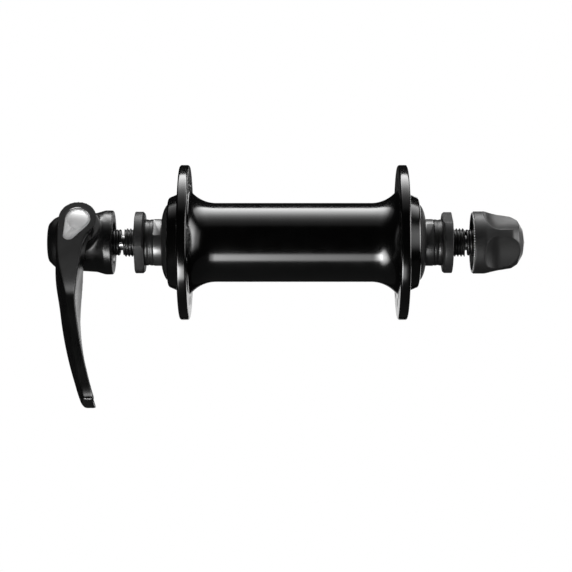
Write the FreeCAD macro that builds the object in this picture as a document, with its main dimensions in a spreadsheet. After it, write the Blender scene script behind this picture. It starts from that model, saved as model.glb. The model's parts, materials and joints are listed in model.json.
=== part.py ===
import FreeCAD, Part
import math
import os
import re
import Sketcher
from FreeCAD import Placement, Rotation, Vector

# A quick release front hub for a bicycle. The axle lies along Y with the lever at +Y,
# +X is forward on the bicycle and +Z is up. The origin is on the axle, midway between the locknuts.
# Sizes are in millimetres and degrees.

doc = FreeCAD.newDocument("front_hub")
sheet = doc.addObject("Spreadsheet::Sheet", "Sizes")

# The driving sizes: one cell each, with what it measures
SIZES = [
    # Axle and what is clamped on it
    ("over_locknuts", 100.0, "outer face to outer face of the locknuts"),
    ("axle_standout", 4.0, "from a locknut's face to the end of the hollow axle"),
    ("axle_diameter", 9.0, "over the thread"),
    ("axle_bore", 5.5, "hole for the skewer rod"),
    ("axle_chamfer", 0.6, "at the axle's ends"),
    ("thread_gap", 0.02, "between a threaded piece and the axle"),
    ("locknut_diameter", 19.5, "over the round of the locknut"),
    ("locknut_width", 3.1, "along the axle"),
    ("locknut_flats", 17.0, "across the two wrench flats"),
    ("locknut_chamfer", 0.6, "on the inboard edge"),
    ("locknut_edge", 0.3, "on the outboard edge"),
    ("spacer_diameter", 14.6, "over the ring between cone and locknut"),
    ("spacer_width", 2.7, "along the axle"),
    ("spacer_waist", 0.2, "depth of the groove round the spacer"),
    ("cone_diameter", 14.8, "over the cone's body"),
    ("cone_length", 10.5, "along the axle"),
    ("cone_flats", 13.0, "across the two wrench flats"),
    ("cone_flat_width", 2.4, "width of the wrench flats"),
    ("cone_edge", 0.4, "chamfer of the cone's ends"),
    ("left_cone_turn", 47.0, "angle of the left cone's flats round the axle"),
    ("right_cone_turn", 24.0, "angle of the right cone's flats"),
    ("left_locknut_turn", -37.0, "angle of the left locknut's flats"),
    ("right_locknut_turn", 69.0, "angle of the right locknut's flats"),
    # Bearings
    ("ball_diameter", 4.76, "3/16 inch ball"),
    ("ball_circle", 17.2, "diameter of the circle of ball centres"),
    ("ball_count", 10.0, "balls on each side"),
    ("ball_inset", 7.6, "from the cone's outboard end to the ball centres"),
    ("race_radius", 2.6, "groove radius of cup and cone"),
    ("race_gap", 0.04, "between ball and race"),
    ("cup_diameter", 24.4, "outside of the pressed cup"),
    ("cup_width", 5.8, "along the axle"),
    ("cup_floor", 1.1, "thickness of the cup behind its race"),
    ("cup_hole", 15.2, "through the cup's floor"),
    ("seat_gap", 0.02, "between a pressed piece and its seat"),
    ("cage_inside", 18.6, "inside diameter of the ball cage"),
    ("cage_outside", 21.4, "outside diameter of the ball cage"),
    ("cage_width", 2.3, "along the axle"),
    ("cage_end", 2.7, "from the ball centres to the cage's outboard end"),
    ("cage_gap", 0.1, "between ball and cage"),
    ("cap_hole", 15.3, "opening of the dust cap round the cone"),
    ("cap_sheet", 0.7, "thickness of the dust cap"),
    ("cap_rise", 1.9, "height of the dust cap's dome"),
    ("cap_crown", 15.0, "radius of the dome's section"),
    ("cap_skirt", 0.7, "length of the skirt in the shell's mouth"),
    ("seal_outside", 16.4, "over the rubber ring on the cone"),
    ("seal_inside", 13.2, "bottom of its groove"),
    ("seal_width", 1.1, "along the axle"),
    ("seal_offset", 2.6, "from the ball centres to the rubber ring"),
    # Hub shell
    ("flange_spacing", 68.7, "centre to centre of the spoke flanges"),
    ("flange_width", 3.1, "thickness of a flange"),
    ("flange_diameter", 49.0, "over a flange"),
    ("flange_round", 0.7, "radius of a flange's rim edges"),
    ("spoke_circle", 38.0, "diameter of the circle of spoke holes"),
    ("spoke_hole", 2.6, "diameter of a spoke hole"),
    ("spoke_count", 12.0, "spoke holes in each flange"),
    ("barrel_diameter", 25.0, "over the barrel"),
    ("barrel_straight", 49.0, "length of the barrel's straight middle"),
    ("root_diameter", 33.4, "where the barrel's sweep meets the flange"),
    ("boss_wall", 1.8, "wall of the boss round its mouth's bore"),
    ("boss_flare", 1.55, "how much wider the boss is at the flange, to a side"),
    ("boss_round", 1.2, "radius round the boss's mouth"),
    ("shell_bore", 19.0, "bore through the barrel"),
    # Skewer rod and springs
    ("rod_diameter", 4.9, "skewer rod"),
    ("rod_reach", 9.7, "from the nut's clamping face to the rod's threaded end"),
    ("rod_point", 0.6, "chamfer of the rod's threaded end"),
    ("eye_diameter", 11.2, "round end of the rod that the cam pulls"),
    ("eye_width", 6.0, "thickness of the rod's eye"),
    ("spring_wire", 0.9, "spring wire"),
    ("spring_small", 6.8, "mean diameter of the spring's small end"),
    ("spring_large", 12.2, "mean diameter of the spring's large end"),
    ("spring_turns", 4.25, "coils of each spring"),
    ("spring_gap", 0.06, "between a spring's end and its seat"),
    # Quick release head
    ("lever_tilt", 30.0, "angle of the whole head round the axle"),
    ("head_gap", 6.8, "room for a dropout between locknut and head"),
    ("head_diameter", 20.3, "over the head's rim"),
    ("head_edge", 0.4, "chamfer of the rim"),
    ("rim_width", 2.6, "width of the rim"),
    ("neck_diameter", 18.7, "behind the rim"),
    ("neck_length", 2.7, "taper from rim to neck"),
    ("dome_diameter", 16.8, "where the end dome starts"),
    ("dome_start", 17.8, "from the clamping face to the dome"),
    ("dome_height", 3.4, "height of the end dome"),
    ("dome_corner", 3.4, "corner radius of the dome"),
    ("dome_brow", 11.8, "diameter where the dome flattens"),
    ("dome_crown", 0.7, "rise of the dome inside its brow"),
    ("recess_diameter", 13.4, "spring recess in head and nut"),
    ("recess_depth", 3.9, "depth of the spring recess"),
    ("pivot_height", 10.2, "from the clamping face to the cam's axis"),
    ("pad_diameter", 13.6, "boss that the lever turns on"),
    ("pad_face", 10.4, "from the axle to the boss's face"),
    ("washer_width", 0.5, "thickness of the washer under the lever"),
    ("running_gap", 0.05, "between pieces that turn on each other"),
    # Cam shaft
    ("cam_diameter", 8.4, "journal in the head"),
    ("cam_throw", 1.0, "offset of the part that carries the rod's eye"),
    ("cam_journal", 6.0, "diameter of that part"),
    ("cam_tail", 5.0, "diameter of the shaft's far end"),
    ("cam_tail_short", 0.45, "from the shaft's far end to the neck's surface"),
    ("eye_gap", 0.15, "between cam and eye"),
    ("eye_side_gap", 0.3, "beside the eye in its slot"),
    ("cam_rise_error", 0.21, "share of the throw by which a sine leaves its chord"),
    ("clip_diameter", 7.6, "retaining ring"),
    ("clip_width", 0.6, "thickness of the retaining ring"),
    ("clip_recess", 8.4, "diameter of the ring's recess"),
    ("clip_depth", 1.4, "from the neck's surface to the recess floor"),
    ("lobe_diameter", 3.9, "narrow end of the teardrop"),
    ("lobe_side", 2.4, "offset of the teardrop's narrow end along the axle"),
    ("lobe_drop", 5.6, "offset of the teardrop's narrow end along the blade"),
    ("crown_diameter", 7.9, "round end of the teardrop"),
    ("insert_depth", 0.5, "teardrop below the lever's face"),
    ("insert_gap", 0.04, "round the teardrop"),
    ("button_diameter", 6.8, "domed rivet head in the round end"),
    ("button_height", 0.8, "rise of the rivet head"),
    # Lever
    ("eye_round", 13.4, "diameter of the lever's eye"),
    ("lever_face", 15.0, "from the axle to the lever's face"),
    ("blade_back", -2.5, "from the axle to the blade's back edge"),
    ("blade_length", 60.0, "from the pivot to the blade's tip"),
    ("blade_width", 12.0, "width of the blade where it leaves the eye"),
    # Adjusting nut
    ("nut_gap", 6.3, "room for a dropout between locknut and nut"),
    ("insert_diameter", 18.2, "serrated steel ring of the nut"),
    ("insert_ring", 1.0, "width of the steel ring"),
    ("ring_stand", 0.3, "how far the steel ring stands out of the cap"),
    ("insert_hub", 14.6, "diameter round the spring recess"),
    ("insert_floor", 0.9, "thickness of the recess floor"),
    ("insert_boss", 9.6, "diameter of the threaded boss"),
    ("insert_length", 9.5, "from the clamping face to the boss's end"),
    ("collar_diameter", 19.7, "over the cap's collar"),
    ("collar_edge", 0.4, "chamfer of the collar"),
    ("collar_end", 3.8, "from the clamping face to the collar's end"),
    ("ridge_diameter", 16.6, "over the ridges at their outer end"),
    ("ridge_back", 4.4, "from the tip to the ridges' outer end"),
    ("bevel_diameter", 14.0, "where the tip's bevel starts"),
    ("bevel_back", 2.4, "from the tip to the bevel"),
    ("bevel_round", 2.6, "radius from ridge to bevel"),
    ("tip_diameter", 9.2, "where the bevel ends"),
    ("tip_rise", 0.9, "rise of the domed tip"),
    ("cap_length", 16.7, "from the clamping face to the cap's tip"),
    ("cap_cavity", 6.2, "bore in the cap for the rod's end"),
    ("cap_tip_wall", 2.4, "thickness of the cap's tip"),
    ("scallop_radius", 19.0, "radius of a finger scallop"),
    ("scallop_floor", 6.3, "from the axle to a scallop's floor"),
    ("scallop_start", 3.1, "from the clamping face to the scallops"),
    ("scallop_round", 5.5, "radius of a scallop's rounded start"),
    ("scallop_count", 4.0, "finger scallops"),
    ("nut_turn", -25.0, "angle of the scallops round the axle"),
]

for row, (name, value, note) in enumerate(SIZES, start=1):
    sheet.set(f"A{row}", note)
    sheet.set(f"B{row}", str(value))
    sheet.setAlias(f"B{row}", name)
doc.recompute()
CELLS = {name for name, value, note in SIZES}

# Places worked out from the sizes. On each side, "out" is the distance from the hub's centre.
PLACES = {
    "locknut_out": "over_locknuts / 2",
    "locknut_in": "locknut_out - locknut_width",
    "cone_out": "locknut_in - spacer_width",
    "cone_in": "cone_out - cone_length",
    "axle_hole": "axle_diameter / 2 + thread_gap",
    "axle_out": "locknut_out + axle_standout",
    "ball_out": "cone_out - ball_inset",
    "ball_in_race": "race_radius - ball_diameter / 2 - race_gap",
    "cone_race_out": "ball_out - ball_in_race * cos(45 deg)",
    "cone_race_up": "ball_circle / 2 + ball_in_race * sin(45 deg)",
    "cup_race_out": "ball_out + ball_in_race * cos(45 deg)",
    "cup_race_up": "ball_circle / 2 - ball_in_race * sin(45 deg)",
    "cone_rim_out": "cone_race_out + race_radius * cos(31 deg)",
    "cone_rim_up": "cone_race_up - race_radius * sin(31 deg)",
    "cone_nose_up": "cone_race_up - race_radius",
    "cup_floor_out": "cup_race_out - race_radius * cos(10 deg)",
    "cup_floor_up": "cup_race_up + race_radius * sin(10 deg)",
    "cup_wall_out": "cup_race_out - race_radius * cos(85 deg)",
    "cup_wall_up": "cup_race_up + race_radius * sin(85 deg)",
    "cup_in": "cup_floor_out - cup_floor",
    "cup_out": "cup_in + cup_width",
    "cap_foot": "cup_out + seat_gap",
    "shell_out": "cap_foot + cap_skirt",
    "flange_out": "(flange_spacing + flange_width) / 2",
    "flange_in": "(flange_spacing - flange_width) / 2",
    "mouth_radius": "cup_diameter / 2 + seat_gap",
    "boss_radius": "mouth_radius + boss_wall",
    "sweep_rise": "(root_diameter - barrel_diameter) / 2",
    "sweep_run": "flange_in - barrel_straight / 2",
    "sweep_radius": "(sweep_run ^ 2 + sweep_rise ^ 2) / (2 * sweep_rise)",
    "cap_top": "shell_out + cap_rise",
    "seal_in": "ball_out + seal_offset",
    "seal_out": "seal_in + seal_width",
    "head_face": "locknut_out + head_gap",
    "nut_face": "locknut_out + nut_gap",
    "rod_end": "nut_face + rod_reach",
    "pivot_out": "head_face + pivot_height",
    "head_out": "head_face + dome_start + dome_height",
    "dome_bend": "((dome_brow / 2) ^ 2 + dome_crown ^ 2) / (2 * dome_crown)",
    "recess_floor": "head_face + recess_depth",
    "nut_recess_floor": "nut_face + recess_depth",
    "eye_out": "pivot_out + cam_throw",
    "eye_half": "cam_journal / 2 + cam_rise_error * cam_throw + eye_gap",
    "eye_reach": "cam_throw + cam_journal / 2 + eye_gap",
    "slot_half": "eye_diameter / 2 + eye_side_gap",
    "slot_side": "eye_width / 2 + eye_side_gap",
    "lever_back": "pad_face + washer_width + running_gap",
    "insert_face": "lever_face - insert_depth",
    "clip_floor": "neck_diameter / 2 - clip_depth",
    "insert_hub_out": "nut_recess_floor + insert_floor",
    "insert_out": "nut_face + insert_length",
    "ring_out": "nut_face + insert_ring",
    "cap_in": "nut_face + ring_stand",
    "cap_tip_out": "nut_face + cap_length",
    "tip_bend": "((tip_diameter / 2) ^ 2 + tip_rise ^ 2) / (2 * tip_rise)",
    "rod_hole": "rod_diameter / 2 + running_gap",
    "scallop_axis": "scallop_floor + scallop_radius",
}


def bound(text):
    """The expression with its places worked out and its cells named in full."""

    def full(match):
        word = match.group(0)
        if word in PLACES:
            return "(" + bound(PLACES[word]) + ")"
        return "Sizes." + word if word in CELLS else word

    return re.sub(r"[a-z][a-z_]+", full, text)


def number(text):
    """What an expression comes to, in millimetres or degrees."""
    answer = sheet.evalExpression(bound(text).replace("Sizes.", ""))
    return float(getattr(answer, "Value", answer))


def plane(body, role):
    """One of the body's own origin planes or axes."""
    return next(f for f in body.Origin.OriginFeatures if f.Role == role)


def new_body(name):
    body = doc.addObject("PartDesign::Body", name)
    body.Label = name
    return body


def new_sketch(body, name, role, offset="0", turned=0.0):
    """A sketch on one of the body's origin planes, moved along the plane's normal by the offset."""
    sketch = body.newObject("Sketcher::SketchObject", name)
    sketch.AttachmentSupport = [(plane(body, role), "")]
    sketch.MapMode = "FlatFace"
    sketch.AttachmentOffset = Placement(Vector(0, 0, number(offset)), Rotation(Vector(0, 0, 1), turned))
    if offset != "0":
        sketch.setExpression("AttachmentOffset.Base.z", bound(offset))
    return sketch


def hold(sketch, kind, where, text):
    """Pin one coordinate of a point to an expression."""
    value = number(text)
    if abs(value) < 1e-9:
        sketch.addConstraint(Sketcher.Constraint("PointOnObject", *where, -2 if kind == "DistanceX" else -1))
        return
    index = sketch.addConstraint(Sketcher.Constraint(kind, -1, 1, *where, value))
    sketch.setExpression(f"Constraints[{index}]", bound(text))


def bowed(start, end, radius):
    """The arc from start to end; a positive radius bows to the left of the way."""
    chord = end - start
    half = chord.Length / 2
    size = max(abs(radius), half)
    left = Vector(-chord.y, chord.x, 0).normalize()
    centre = (start + end) / 2 - left * math.copysign(math.sqrt(size**2 - half**2), radius)
    first, last = (end, start) if radius > 0 else (start, end)
    angles = [math.atan2(p.y - centre.y, p.x - centre.x) for p in (first, last)]
    if angles[1] < angles[0]:
        angles[1] += 2 * math.pi
    return Part.ArcOfCircle(Part.Circle(centre, Vector(0, 0, 1), size), *angles)


def outline(sketch, corners):
    """A closed outline. A corner is (x, y), or (x, y, radius) where an arc leads to it."""
    points = [Vector(number(c[0]), number(c[1]), 0) for c in corners]
    first = sketch.GeometryCount
    count = len(corners)
    ends = []
    for index, corner in enumerate(corners):
        start, end = points[index - 1], points[index]
        if len(corner) == 3:
            edge = bowed(start, end, number(corner[2]))
        else:
            edge = Part.LineSegment(start, end)
        sketch.addGeometry(edge, False)
        # an arc runs anticlockwise, so one that bows to the left starts at this corner
        ends.append((2, 1) if len(corner) == 3 and number(corner[2]) > 0 else (1, 2))
    for index, corner in enumerate(corners):
        here = (first + index, ends[index][1])
        after = (first + (index + 1) % count, ends[(index + 1) % count][0])
        sketch.addConstraint(Sketcher.Constraint("Coincident", *here, *after))
        hold(sketch, "DistanceX", here, corner[0])
        hold(sketch, "DistanceY", here, corner[1])
        if len(corner) == 3:
            radius = sketch.addConstraint(Sketcher.Constraint("Radius", here[0], abs(number(corner[2]))))
            sketch.setExpression(f"Constraints[{radius}]", f"abs({bound(corner[2])})")


def circle(sketch, x, y, diameter):
    """A circle whose centre and diameter follow expressions."""
    index = sketch.addGeometry(Part.Circle(Vector(number(x), number(y), 0), Vector(0, 0, 1), number(diameter) / 2))
    hold(sketch, "DistanceX", (index, 3), x)
    hold(sketch, "DistanceY", (index, 3), y)
    size = sketch.addConstraint(Sketcher.Constraint("Diameter", index, number(diameter)))
    sketch.setExpression(f"Constraints[{size}]", bound(diameter))


def belt(sketch, first, second):
    """The outline of a belt round two circles, each given as (x, y, diameter)."""
    centres = [Vector(number(c[0]), number(c[1]), 0) for c in (first, second)]
    radii = [number(c[2]) / 2 for c in (first, second)]
    way = centres[1] - centres[0]
    lean = math.atan2(way.y, way.x)
    spread = math.acos((radii[0] - radii[1]) / way.Length)
    arcs = []
    for centre, radius, start, end in (
        (centres[0], radii[0], lean + spread, lean - spread + 2 * math.pi),
        (centres[1], radii[1], lean - spread, lean + spread),
    ):
        round_end = Part.ArcOfCircle(Part.Circle(centre, Vector(0, 0, 1), radius), start, end)
        arcs.append(sketch.addGeometry(round_end, False))
    sides = []
    for tail, head in ((2, 1), (1, 2)):
        ends = [sketch.getPoint(arcs[0], tail), sketch.getPoint(arcs[1], head)]
        sides.append(sketch.addGeometry(Part.LineSegment(*ends), False))
        sketch.addConstraint(Sketcher.Constraint("Tangent", arcs[0], tail, sides[-1], 1))
        sketch.addConstraint(Sketcher.Constraint("Tangent", arcs[1], head, sides[-1], 2))
    for arc, (x, y, diameter) in zip(arcs, (first, second)):
        hold(sketch, "DistanceX", (arc, 3), x)
        hold(sketch, "DistanceY", (arc, 3), y)
        size = sketch.addConstraint(Sketcher.Constraint("Diameter", arc, number(diameter)))
        sketch.setExpression(f"Constraints[{size}]", bound(diameter))


def turned(body, name, corners, cut=False):
    """A revolution, or a groove, of an outline of (radius, out) corners about the axle."""
    sketch = new_sketch(body, name + "_profile", "XY_Plane")
    outline(sketch, corners)
    kind = "PartDesign::Groove" if cut else "PartDesign::Revolution"
    feature = body.newObject(kind, name)
    feature.Profile = sketch
    feature.ReferenceAxis = (sketch, ["V_Axis"])
    feature.Angle = 360.0
    sketch.Visibility = False
    return feature


def layer(body, name, start, width, cut=False):
    """A sketch across the axle's direction and its pad or pocket, from start outward by width.

    The sketch is drawn in X and Z, and the feature runs towards +Y.
    """
    sketch = new_sketch(body, name + "_profile", "XZ_Plane", f"-({start})")
    feature = body.newObject("PartDesign::Pocket" if cut else "PartDesign::Pad", name)
    feature.Profile = sketch
    feature.Length = number(width)
    feature.setExpression("Length", bound(width))
    # the plane's normal points to -Y, so a pad is reversed and a pocket isn't
    feature.Reversed = not cut
    return sketch, feature


def cross_layer(body, name, start, width, cut=False):
    """A sketch in Y and Z and its pad or pocket, from X = start towards +X by width."""
    sketch = new_sketch(body, name + "_profile", "YZ_Plane", start)
    feature = body.newObject("PartDesign::Pocket" if cut else "PartDesign::Pad", name)
    feature.Profile = sketch
    feature.Length = number(width)
    feature.setExpression("Length", bound(width))
    feature.Reversed = cut
    return sketch, feature


def cross_disc(body, name, y, diameter, start, width, cut=False):
    """A round pad or hole along X, centred at Y = y on the axle's height."""
    sketch, feature = cross_layer(body, name, start, width, cut)
    circle(sketch, y, "0", diameter)
    return feature


def round_pattern(body, name, feature, count):
    """Copies of a feature, evenly spaced round the axle."""
    pattern = body.newObject("PartDesign::PolarPattern", name)
    pattern.Originals = [feature]
    pattern.Axis = (plane(body, "Y_Axis"), [""])
    pattern.Angle = 360.0
    pattern.Occurrences = round(number(count))
    pattern.setExpression("Occurrences", bound(count))
    body.Tip = pattern
    return pattern


def place(body, turn="0", right=False):
    """Turn a piece about the axle; on the right side it's first turned end for end."""
    flip = Rotation(Vector(0, 0, 1), 180.0 if right else 0.0)
    spin = Rotation(Vector(0, 1, 0), number(turn))
    body.Placement = Placement(Vector(), spin.multiply(flip))


def wrench_flats(body, across, start, width, diameter):
    """Two flats cut on a round piece, from start outward by width."""
    sketch, feature = layer(body, "flats", start, width, cut=True)
    near, far = f"({across}) / 2", f"({diameter}) / 2 + 1"
    for side in ("", "-"):
        outline(sketch, [(f"{side}({near})", f"-({far})"), (f"{side}({far})", f"-({far})"),
                         (f"{side}({far})", far), (f"{side}({near})", far)])
    return feature


def check_cuts(body):
    """Every cut must take metal away and every pad must add some, or a direction is wrong."""
    volume = 0.0
    for feature in body.Group:
        if feature.TypeId == "Sketcher::SketchObject" or not hasattr(feature, "Shape"):
            continue
        change = feature.Shape.Volume - volume
        cuts = any(word in feature.TypeId for word in ("Pocket", "Groove", "Subtractive"))
        if cuts and change > -1e-6:
            raise RuntimeError(f"{body.Label}: {feature.Label} cuts nothing")
        if abs(change) < 1e-6:
            raise RuntimeError(f"{body.Label}: {feature.Label} changes nothing")
        volume = feature.Shape.Volume


# Axle group: what stays still in the fork
def build_axle():
    body = new_body("axle")
    turned(body, "tube", [
        ("axle_bore / 2", "axle_out"),
        ("axle_diameter / 2 - axle_chamfer", "axle_out"),
        ("axle_diameter / 2", "axle_out - axle_chamfer"),
        ("axle_diameter / 2", "axle_chamfer - axle_out"),
        ("axle_diameter / 2 - axle_chamfer", "-axle_out"),
        ("axle_bore / 2", "-axle_out"),
    ])


def build_cone(side, right):
    body = new_body(f"{side}_cone")
    turned(body, "cone", [
        ("axle_hole", "cone_in"),
        ("axle_hole", "cone_out"),
        ("cone_diameter / 2 - cone_edge", "cone_out"),
        ("cone_diameter / 2", "cone_out - cone_edge"),
        ("cone_diameter / 2", "seal_out"),
        ("seal_inside / 2", "seal_out"),
        ("seal_inside / 2", "seal_in"),
        ("cone_diameter / 2", "seal_in"),
        ("cone_diameter / 2", "(seal_in + cone_rim_out) / 2"),
        ("cone_rim_up", "cone_rim_out"),
        ("cone_nose_up", "cone_race_out", "-race_radius"),
        ("cone_nose_up", "cone_in + cone_edge"),
        ("cone_nose_up - cone_edge", "cone_in"),
    ])
    wrench_flats(body, "cone_flats", "cone_out - cone_flat_width", "cone_flat_width", "cone_diameter")
    place(body, f"{side}_cone_turn", right)


def build_cone_seal(side, right):
    body = new_body(f"{side}_cone_seal")
    turned(body, "ring", [
        ("seal_inside / 2 + thread_gap", "seal_in + thread_gap"),
        ("seal_outside / 2", "seal_in + seal_width / 4"),
        ("seal_outside / 2", "seal_out - seal_width / 4"),
        ("seal_inside / 2 + thread_gap", "seal_out - thread_gap"),
    ])
    place(body, "0", right)


def build_spacer(side, right):
    body = new_body(f"{side}_spacer")
    turned(body, "ring", [
        ("axle_hole", "cone_out"),
        ("axle_hole", "locknut_in"),
        ("spacer_diameter / 2", "locknut_in"),
        ("spacer_diameter / 2", "locknut_in - spacer_width / 3"),
        ("spacer_diameter / 2 - spacer_waist", "locknut_in - spacer_width / 2"),
        ("spacer_diameter / 2", "cone_out + spacer_width / 3"),
        ("spacer_diameter / 2", "cone_out"),
    ])
    place(body, "0", right)


def build_locknut(side, right):
    body = new_body(f"{side}_locknut")
    turned(body, "nut", [
        ("axle_hole", "locknut_in"),
        ("axle_hole", "locknut_out"),
        ("locknut_diameter / 2 - locknut_edge", "locknut_out"),
        ("locknut_diameter / 2", "locknut_out - locknut_edge"),
        ("locknut_diameter / 2", "locknut_in + locknut_chamfer"),
        ("locknut_diameter / 2 - locknut_chamfer", "locknut_in"),
    ])
    wrench_flats(body, "locknut_flats", "locknut_in - 1", "locknut_width + 2", "locknut_diameter")
    place(body, f"{side}_locknut_turn", right)


# Hub shell: one forging, turned, bored and drilled for the spokes
def build_shell():
    body = new_body("hub_shell")
    half = turned(body, "half", [
        ("shell_bore / 2", "0"),
        ("shell_bore / 2", "cup_in"),
        ("mouth_radius", "cup_in"),
        ("mouth_radius", "shell_out"),
        ("boss_radius - boss_round", "shell_out"),
        ("boss_radius", "shell_out - boss_round", "boss_round"),
        ("boss_radius + boss_flare", "flange_out"),
        ("flange_diameter / 2 - flange_round", "flange_out"),
        ("flange_diameter / 2", "flange_out - flange_round", "flange_round"),
        ("flange_diameter / 2", "flange_in + flange_round"),
        ("flange_diameter / 2 - flange_round", "flange_in", "flange_round"),
        ("root_diameter / 2", "flange_in"),
        ("barrel_diameter / 2", "barrel_straight / 2", "-sweep_radius"),
        ("barrel_diameter / 2", "0"),
    ])
    whole = body.newObject("PartDesign::Mirrored", "whole")
    whole.Originals = [half]
    whole.MirrorPlane = (plane(body, "XZ_Plane"), [""])
    body.Tip = whole
    # the holes of one flange stand midway between those of the other
    for side, angle, reverse in (("left", "180 / spoke_count", False), ("right", "0", True)):
        hole_sketch = new_sketch(body, f"{side}_spoke_hole_profile", "XZ_Plane")
        away, up = f"-(spoke_circle / 2 * cos({angle} * 1 deg))", f"spoke_circle / 2 * sin({angle} * 1 deg)"
        circle(hole_sketch, away, up, "spoke_hole")
        hole = body.newObject("PartDesign::Pocket", f"{side}_spoke_hole")
        hole.Profile = hole_sketch
        hole.Type = "ThroughAll"
        hole.Reversed = reverse
        round_pattern(body, f"{side}_spoke_holes", hole, "spoke_count")


def build_cup(side, right):
    body = new_body(f"{side}_bearing_cup")
    turned(body, "cup", [
        ("cup_hole / 2", "cup_in"),
        ("cup_hole / 2", "cup_floor_out"),
        ("cup_floor_up", "cup_floor_out"),
        ("cup_wall_up", "cup_wall_out", "-race_radius"),
        ("cup_wall_up", "cup_out"),
        ("cup_diameter / 2", "cup_out"),
        ("cup_diameter / 2", "cup_in"),
    ])
    place(body, "0", right)


def build_dust_cap(side, right):
    body = new_body(f"{side}_dust_cap")
    turned(body, "cap", [
        ("cup_diameter / 2 - cap_sheet", "cap_foot"),
        ("cup_diameter / 2", "cap_foot"),
        ("cup_diameter / 2", "shell_out"),
        ("cap_hole / 2", "cap_top", "-cap_crown"),
        ("cap_hole / 2", "cap_top - cap_sheet"),
        ("cup_diameter / 2 - cap_sheet", "shell_out - cap_sheet / 2", "cap_crown"),
    ])
    place(body, "0", right)


# Bearings: ten balls a side, held apart by a cage
def build_balls(side, right):
    body = new_body(f"{side}_bearing_balls")
    body.AllowCompound = True
    ball = body.newObject("PartDesign::AdditiveSphere", "ball")
    ball.AttachmentSupport = [(plane(body, "XY_Plane"), "")]
    ball.MapMode = "FlatFace"
    set_ball(ball, "ball_diameter / 2")
    round_pattern(body, "balls", ball, "ball_count")
    place(body, "0", right)


def set_ball(ball, radius):
    """Put a sphere feature where a bearing ball lies."""
    ball.Radius = number(radius)
    ball.setExpression("Radius", bound(radius))
    ball.AttachmentOffset = Placement(Vector(number("ball_circle / 2"), number("ball_out"), 0), Rotation())
    ball.setExpression("AttachmentOffset.Base.x", bound("ball_circle / 2"))
    ball.setExpression("AttachmentOffset.Base.y", bound("ball_out"))


def build_cage(side, right):
    body = new_body(f"{side}_ball_retainer")
    inner, outer = "ball_out + cage_end - cage_width", "ball_out + cage_end"
    turned(body, "ring", [
        ("cage_inside / 2", inner),
        ("cage_inside / 2", outer),
        ("cage_outside / 2", outer),
        ("cage_outside / 2", inner),
    ])
    seat = body.newObject("PartDesign::SubtractiveSphere", "seat")
    seat.AttachmentSupport = [(plane(body, "XY_Plane"), "")]
    seat.MapMode = "FlatFace"
    set_ball(seat, "ball_diameter / 2 + cage_gap")
    round_pattern(body, "seats", seat, "ball_count")
    place(body, "0", right)


# Quick release head, drawn with the lever straight down and its pivot towards -X, then turned
def build_housing():
    body = new_body("lever_housing")
    turned(body, "head", [
        ("0", "head_face"),
        ("0", "head_out"),
        ("dome_brow / 2", "head_out - dome_crown", "dome_bend"),
        ("dome_diameter / 2", "head_face + dome_start", "dome_corner"),
        ("neck_diameter / 2", "head_face + rim_width + neck_length"),
        ("head_diameter / 2", "head_face + rim_width"),
        ("head_diameter / 2", "head_face + head_edge"),
        ("head_diameter / 2 - head_edge", "head_face"),
    ])
    cross_disc(body, "pad", "pivot_out", "pad_diameter", "-pad_face", "pad_face")
    recess_profile, recess = layer(body, "recess", "head_face", "recess_depth", cut=True)
    circle(recess_profile, "0", "0", "recess_diameter")
    slot, eye_slot = layer(body, "eye_slot", "recess_floor", "eye_out + slot_half - recess_floor", cut=True)
    outline(slot, [("-(slot_side)", "-(slot_half)"), ("slot_side", "-(slot_half)"),
                   ("slot_side", "slot_half"), ("-(slot_side)", "slot_half")])
    cross_disc(body, "cam_bore", "pivot_out", "cam_diameter + 2 * running_gap",
               "-(pad_face + 1)", "pad_face + 1 + slot_side", cut=True)
    cross_disc(body, "tail_bore", "pivot_out", "cam_tail + 2 * running_gap", "0", "head_diameter", cut=True)
    cross_disc(body, "clip_seat", "pivot_out", "clip_recess", "clip_floor", "head_diameter", cut=True)
    place(body, "lever_tilt")


def build_washer():
    body = new_body("lever_washer")
    cross_disc(body, "washer", "pivot_out", "pad_diameter - 0.8", "-(pad_face + washer_width)", "washer_width")
    cross_disc(body, "hole", "pivot_out", "cam_diameter + 4 * running_gap",
               "-(pad_face + washer_width + 1)", "washer_width + 2", cut=True)
    place(body, "lever_tilt")


def teardrop(sketch, gap):
    """The keyed outline that the cam shaft shares with the lever's eye."""
    belt(sketch, ("pivot_out", "0", f"crown_diameter + 2 * ({gap})"),
         ("pivot_out + lobe_side", "-lobe_drop", f"lobe_diameter + 2 * ({gap})"))


def build_cam_shaft():
    body = new_body("cam_shaft")
    cross_disc(body, "journal", "pivot_out", "cam_diameter", "-(lever_back)", "lever_back - slot_side")
    cross_disc(body, "cam", "eye_out", "cam_journal", "-(slot_side)", "2 * slot_side")
    cross_disc(body, "tail", "pivot_out", "cam_tail", "slot_side", "clip_floor + clip_depth - slot_side - cam_tail_short")
    key_sketch, key = cross_layer(body, "key", "-(insert_face)", "insert_face - lever_back")
    teardrop(key_sketch, "0")
    button_sketch = new_sketch(body, "button_profile", "XY_Plane")
    bend = "((button_diameter / 2) ^ 2 + button_height ^ 2) / (2 * button_height)"
    outline(button_sketch, [
        ("-(insert_face)", "pivot_out"),
        ("-(insert_face + button_height)", "pivot_out"),
        ("-(insert_face)", "pivot_out + button_diameter / 2", bend),
    ])
    button = body.newObject("PartDesign::Revolution", "button")
    button.Profile = button_sketch
    button.ReferenceAxis = (button_sketch, [spindle(button_sketch)])
    button.Angle = 360.0
    place(body, "lever_tilt")


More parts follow.
